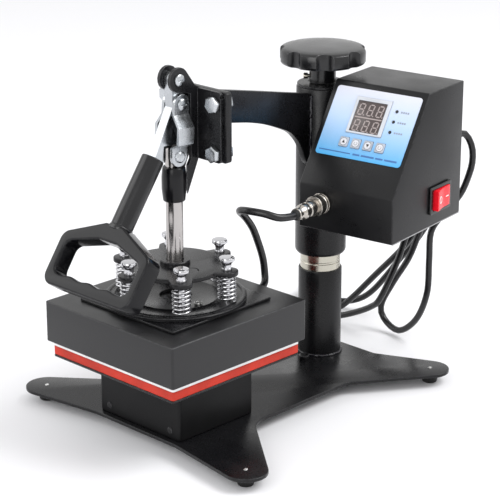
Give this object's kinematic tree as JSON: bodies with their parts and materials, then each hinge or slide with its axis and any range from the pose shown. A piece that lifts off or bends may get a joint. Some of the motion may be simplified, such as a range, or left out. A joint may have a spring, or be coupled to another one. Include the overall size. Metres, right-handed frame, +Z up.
{
  "type": "rotary heat press",
  "caption": "Small swing-away heat press: a toggle handle clamps a spring-loaded heated square platen on a rubber pad, with a control box on the column.",
  "frame": {"origin": "middle of the machine's box without its mains cord and heater cable, on the bench under the feet", "axes": "+Z up; -Y towards the user, where the handle hangs; +Y towards the column; +X to the user's right, the side of the control box"},
  "size_m": [0.3007, 0.4478, 0.3206],
  "materials": {
    "black_paint": "satin black powder coat on steel",
    "rubber": "matt black rubber",
    "red_silicone": "matt red silicone sponge",
    "yellow_zinc": "turned steel with a pale yellow zinc passivate",
    "bronze": "plain bearing bronze",
    "black_plastic": "satin black moulded plastic",
    "zinc": "bright zinc plate on steel",
    "chrome": "polished chrome on steel",
    "aluminium": "machined aluminium",
    "wool": "ceramic fibre blanket",
    "box_paint": "fine texture black powder coat on sheet steel",
    "circuit": "green solder mask",
    "label_film": "printed polycarbonate film, white fading to blue",
    "display": "smoked display window",
    "key_grey": "light grey moulded keys",
    "rocker_red": "glossy red rocker",
    "cable_jacket": "black flexible cable jacket"
  },
  "bodies": {
    "base": {"base_plate": "black_paint", "foot_front_left": "rubber", "foot_front_right": "rubber", "foot_rear_left": "rubber", "foot_rear_right": "rubber", "pedestal": "black_paint", "lower_plate": "black_paint", "silicone_pad": "red_silicone", "lower_column": "black_paint", "inner_post": "yellow_zinc"},
    "lift_carrier": {"slide_liner": "bronze"},
    "swing_head": {"swing_sleeve": "black_paint", "sleeve_cap": "black_paint", "swing_arm": "black_paint", "mount_plate": "black_paint", "mount_bolt_upper_left": "zinc", "mount_bolt_upper_right": "zinc", "mount_bolt_lower_left": "zinc", "mount_bolt_lower_right": "zinc", "toggle_bracket_left": "black_paint", "toggle_bracket_right": "black_paint", "guide_bush": "black_plastic", "top_pivot_pin": "zinc", "box_cover": "box_paint", "box_tray": "box_paint", "control_board": "circuit", "panel_label": "label_film", "display_module": "display", "switch_body": "black_plastic", "heater_socket": "chrome", "heater_plug": "chrome", "heater_cable": "cable_jacket", "strain_relief": "rubber", "mains_cord": "cable_jacket", "mains_plug": "black_plastic"},
    "knob": {"star_knob": "black_plastic"},
    "platen": {"platen_shell": "black_paint", "square_plate": "black_paint", "round_dish": "black_paint", "heater_plate": "aluminium", "insulation_pad": "wool"},
    "plunger": {"plunger_rod": "chrome", "spider_plate": "black_paint", "pressure_spring_1": "zinc", "pressure_spring_2": "zinc", "pressure_spring_3": "zinc", "pressure_spring_4": "zinc", "pressure_spring_5": "zinc", "pressure_spring_6": "zinc"},
    "lever": {"lever_channel": "zinc", "handle_tube": "black_paint", "d_grip": "black_plastic"},
    "link": {"link_strap_left": "zinc", "link_strap_right": "zinc", "link_pin": "zinc"},
    "rocker": {"power_rocker": "rocker_red"},
    "up_button": {"up_key": "key_grey"},
    "set_button": {"set_key": "key_grey"},
    "down_button": {"down_key": "key_grey"},
    "start_button": {"start_key": "key_grey"}
  },
  "joints": [
    {"name": "head_lift", "type": "slide", "parent": "base", "child": "lift_carrier", "axis": [0, 0, 1], "range_m": [0, 0.012]},
    {"name": "head_swing", "type": "hinge", "parent": "lift_carrier", "child": "swing_head", "pos_m": [-0.009, 0.11363, 0], "axis": [0, 0, 1], "range_deg": [-90, 90], "deforming": ["mains_cord"]},
    {"name": "knob_turn", "type": "hinge", "parent": "swing_head", "child": "knob", "pos_m": [-0.009, 0.11363, 0], "axis": [0, 0, 1], "range_deg": [0, 2160.5]},
    {"name": "platen_travel", "type": "slide", "parent": "swing_head", "child": "platen", "axis": [0, 0, 1], "range_m": [0, 0.02], "deforming": ["heater_cable"]},
    {"name": "lever_swing", "type": "hinge", "parent": "swing_head", "child": "lever", "pos_m": [0, -0.08037, 0.3103], "axis": [-1, 0, 0], "range_deg": [0, 81.6]},
    {"name": "link_swing", "type": "hinge", "parent": "lever", "child": "link", "pos_m": [0, -0.07737, 0.28911], "axis": [1, 0, 0], "range_deg": [0, 113.1]},
    {"name": "plunger_spring", "type": "slide", "parent": "platen", "child": "plunger", "axis": [0, 0, 1], "range_m": [-0.003, 0], "stiffness_N_per_m": 48000, "deforming": ["pressure_spring_1", "pressure_spring_2", "pressure_spring_3", "pressure_spring_4", "pressure_spring_5", "pressure_spring_6"]},
    {"name": "rocker_tilt", "type": "hinge", "parent": "swing_head", "child": "rocker", "pos_m": [0.1121, 0.13471, 0.1847], "axis": [0, 0, -1], "range_deg": [0, 16]},
    {"name": "up_key_press", "type": "slide", "parent": "swing_head", "child": "up_button", "axis": [-0.1252, 0.8091, -0.5742], "range_m": [0, 0.0006], "stiffness_N_per_m": 300},
    {"name": "set_key_press", "type": "slide", "parent": "swing_head", "child": "set_button", "axis": [-0.1252, 0.8091, -0.5742], "range_m": [0, 0.0006], "stiffness_N_per_m": 300},
    {"name": "down_key_press", "type": "slide", "parent": "swing_head", "child": "down_button", "axis": [-0.1252, 0.8091, -0.5742], "range_m": [0, 0.0006], "stiffness_N_per_m": 300},
    {"name": "start_key_press", "type": "slide", "parent": "swing_head", "child": "start_button", "axis": [-0.1252, 0.8091, -0.5742], "range_m": [0, 0.0006], "stiffness_N_per_m": 300}
  ],
  "couplings": [
    {"joint": "knob_turn", "follows": "head_lift", "rad_per_m": 3141.6},
    {"joint": "lever_swing", "follows": "platen_travel", "rad_per_m": 71.122},
    {"joint": "link_swing", "follows": "platen_travel", "rad_per_m": 98.576}
  ]
}
